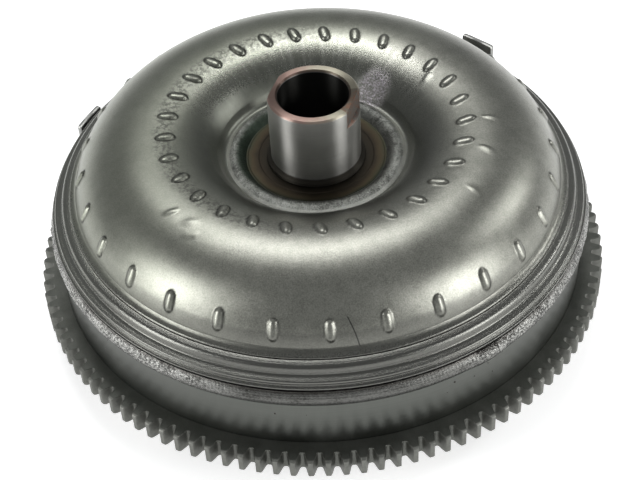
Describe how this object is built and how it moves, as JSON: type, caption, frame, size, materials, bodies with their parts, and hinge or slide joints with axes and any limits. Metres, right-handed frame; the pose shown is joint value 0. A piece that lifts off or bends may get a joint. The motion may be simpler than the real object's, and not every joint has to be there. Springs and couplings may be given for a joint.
{
  "type": "torque converter",
  "caption": "Sealed torque converter with a ring gear on its front cover, a tubular pump drive hub and a lock-up clutch inside.",
  "frame": {"origin": "on the converter's axis, at the free end of the crankshaft pilot, which is the lowest point", "axes": "+Z along the axis, from the engine side to the pump drive hub; +X to the right with the converter seen from the -Y side"},
  "size_m": [0.2896, 0.2896, 0.1231],
  "materials": {
    "shell_steel": "dull pressed and heat marked sheet steel",
    "hub_steel": "ground turned steel",
    "weld": "rippled weld bead",
    "gear_steel": "matte dark induction hardened steel",
    "sheet_steel": "pressed sheet steel",
    "cast_aluminium": "as cast aluminium",
    "bearing_steel": "hardened and ground",
    "spring_steel": "oil tempered",
    "rivet_steel": "plain steel",
    "washer_bronze": "sintered bronze",
    "seal": "moulded seal",
    "friction_paper": "bonded friction paper"
  },
  "bodies": {
    "housing": {"impeller_shell": "shell_steel", "impeller_hub": "hub_steel", "hub_flange": "hub_steel", "hub_weld": "weld", "impeller_blades": "sheet_steel", "impeller_core_ring": "sheet_steel", "front_cover": "shell_steel", "seam_weld": "weld", "ring_gear": "gear_steel", "ring_gear_welds": "weld", "pilot_hub": "hub_steel", "pilot_weld": "weld", "mounting_pads": "shell_steel", "mounting_pad_welds": "weld", "balance_weight_left": "shell_steel", "balance_weight_right": "shell_steel", "balance_weight_welds": "weld", "front_thrust_washer": "washer_bronze", "hub_bearing_race": "bearing_steel"},
    "turbine": {"turbine_shell": "sheet_steel", "turbine_blades": "sheet_steel", "turbine_core_ring": "sheet_steel", "turbine_hub": "hub_steel", "turbine_rivets": "rivet_steel", "damper_drive_ring": "sheet_steel", "piston_seal_ring": "seal", "turbine_bearing_race": "bearing_steel"},
    "damper": {"damper_springs": "spring_steel"},
    "lockup_clutch": {"lockup_piston": "sheet_steel", "friction_lining": "friction_paper", "spring_retainer": "sheet_steel", "retainer_rivets": "rivet_steel"},
    "stator": {"stator_wheel": "cast_aluminium", "stator_snap_ring": "spring_steel", "clutch_upper_cap": "cast_aluminium", "clutch_lower_cap": "cast_aluminium", "clutch_outer_race": "bearing_steel", "clutch_rollers": "bearing_steel", "clutch_springs": "spring_steel", "stator_upper_race": "bearing_steel", "stator_lower_race": "bearing_steel"},
    "clutch_race": {"clutch_inner_race": "bearing_steel"},
    "hub_bearing": {"hub_bearing_needles": "bearing_steel", "hub_bearing_cage": "bearing_steel"},
    "turbine_bearing": {"turbine_bearing_needles": "bearing_steel", "turbine_bearing_cage": "bearing_steel"}
  },
  "joints": [
    {"name": "turbine_spin", "type": "hinge", "parent": "housing", "child": "turbine", "pos_m": [0, 0, 0.04], "axis": [0, 0, 1], "continuous": true},
    {"name": "lockup_apply", "type": "slide", "parent": "turbine", "child": "damper", "axis": [0, 0, -1], "range_m": [0, 0.0009]},
    {"name": "damper_twist", "type": "hinge", "parent": "damper", "child": "lockup_clutch", "pos_m": [0, 0, 0.02], "axis": [0, 0, 1], "range_deg": [-3, 3], "stiffness_Nm_per_rad": 60, "deforming": ["damper_springs"]},
    {"name": "stator_spin", "type": "hinge", "parent": "housing", "child": "stator", "pos_m": [0, 0, 0.065], "axis": [0, 0, 1], "continuous": true},
    {"name": "clutch_race_spin", "type": "hinge", "parent": "stator", "child": "clutch_race", "pos_m": [0, 0, 0.065], "axis": [0, 0, 1], "continuous": true},
    {"name": "hub_bearing_roll", "type": "hinge", "parent": "housing", "child": "hub_bearing", "pos_m": [0, 0, 0.077], "axis": [0, 0, 1], "continuous": true},
    {"name": "turbine_bearing_roll", "type": "hinge", "parent": "turbine", "child": "turbine_bearing", "pos_m": [0, 0, 0.052], "axis": [0, 0, 1], "continuous": true}
  ]
}
